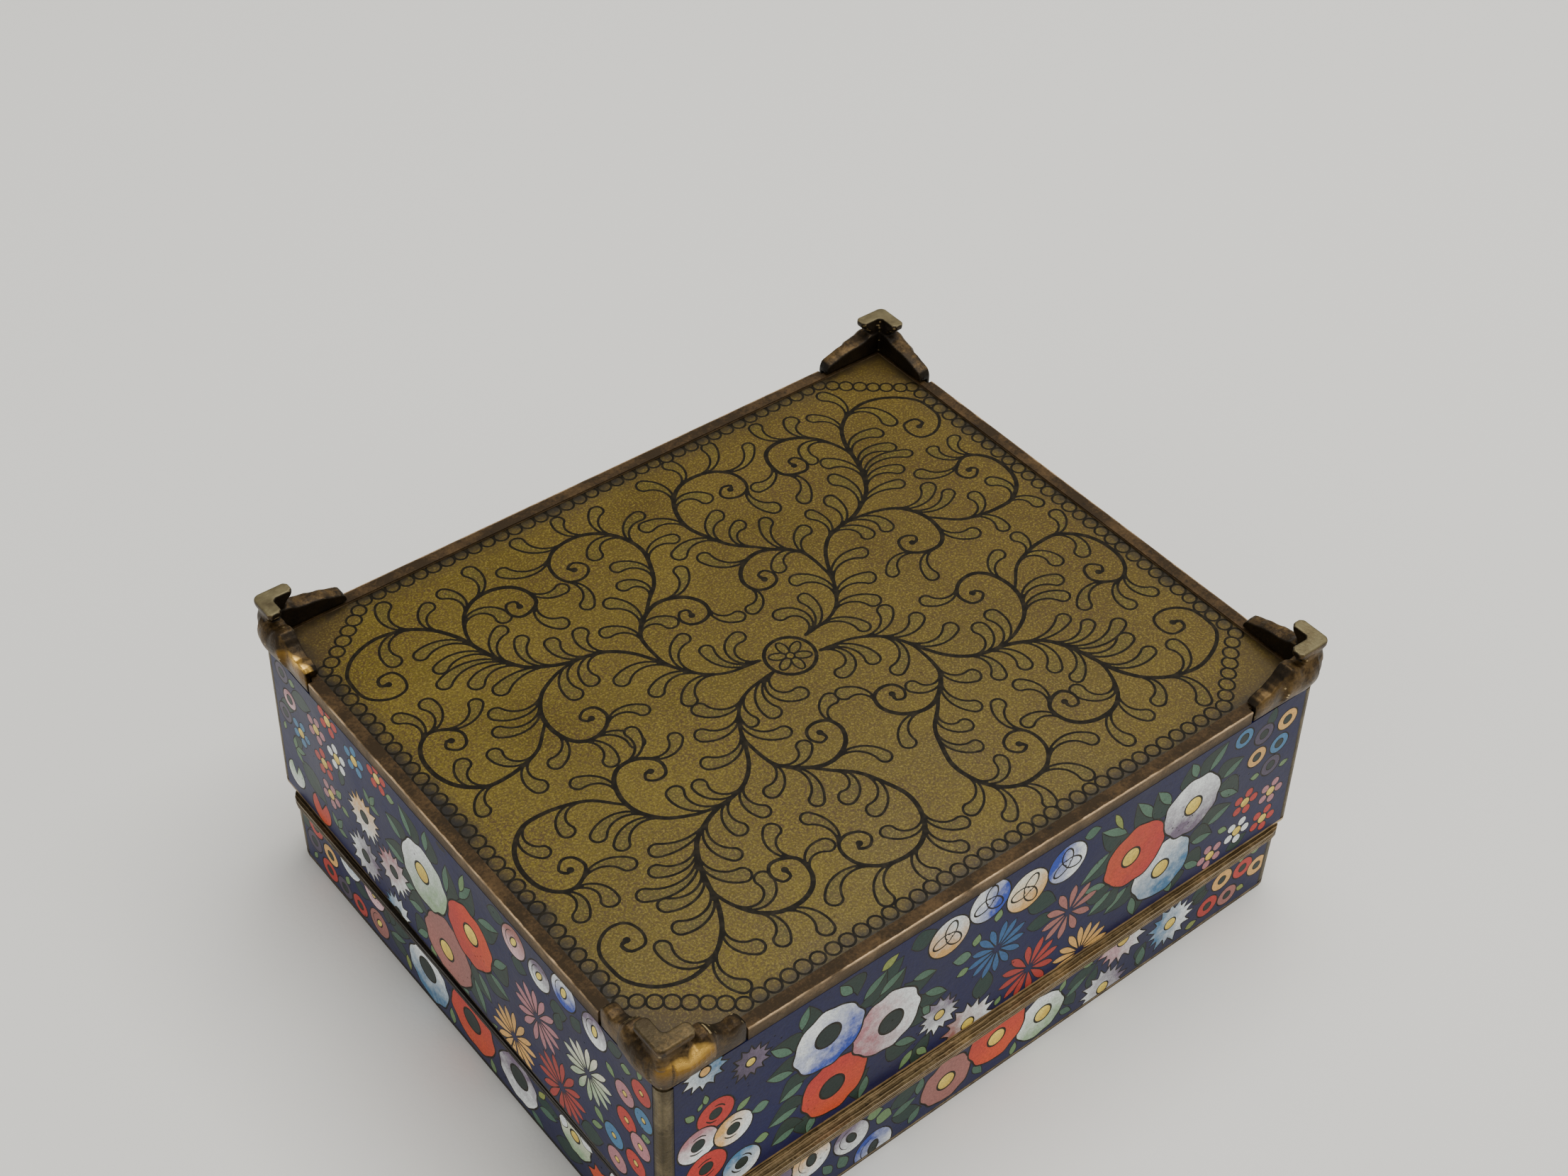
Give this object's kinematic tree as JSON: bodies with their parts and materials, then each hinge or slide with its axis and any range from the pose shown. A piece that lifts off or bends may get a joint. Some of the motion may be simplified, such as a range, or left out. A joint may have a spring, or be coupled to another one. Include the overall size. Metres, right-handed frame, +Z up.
{
  "type": "cloisonne enamel box",
  "caption": "Rectangular cloisonne enamel box with bracket feet and a loose lift-off lid, lying upside down on its lid; dark blue flowered sides and an olive scroll-pattern underside.",
  "frame": {"origin": "under the middle of the whole box, on the plane it lies on", "axes": "+X along the longer side, +Y along the shorter side, +Z up as the box lies: it is upside down, so its feet point to +Z and its lid's top faces -Z. To stand it the right way up, turn it half round about X."},
  "size_m": [0.1132, 0.097, 0.0479],
  "materials": {
    "enamel": "glossy, slightly pitted midnight-blue enamel with many-coloured flowers, olive on the underside",
    "old_brass": "tarnished, satin, dirty in the crevices",
    "cast_brass": "cast, worn bright on the knees, dark in the hollows"
  },
  "bodies": {
    "root": {"body": "enamel", "lid": "enamel", "base_rim": "old_brass", "body_mouth_rim": "old_brass", "lid_mouth_rim": "old_brass", "lid_top_rim": "old_brass", "body_corner_strip_front": "old_brass", "body_corner_strip_right": "old_brass", "body_corner_strip_back": "old_brass", "body_corner_strip_left": "old_brass", "lid_corner_strip_front": "old_brass", "lid_corner_strip_right": "old_brass", "lid_corner_strip_back": "old_brass", "lid_corner_strip_left": "old_brass", "foot_front": "cast_brass", "foot_right": "cast_brass", "foot_back": "cast_brass", "foot_left": "cast_brass"}
  },
  "joints": []
}
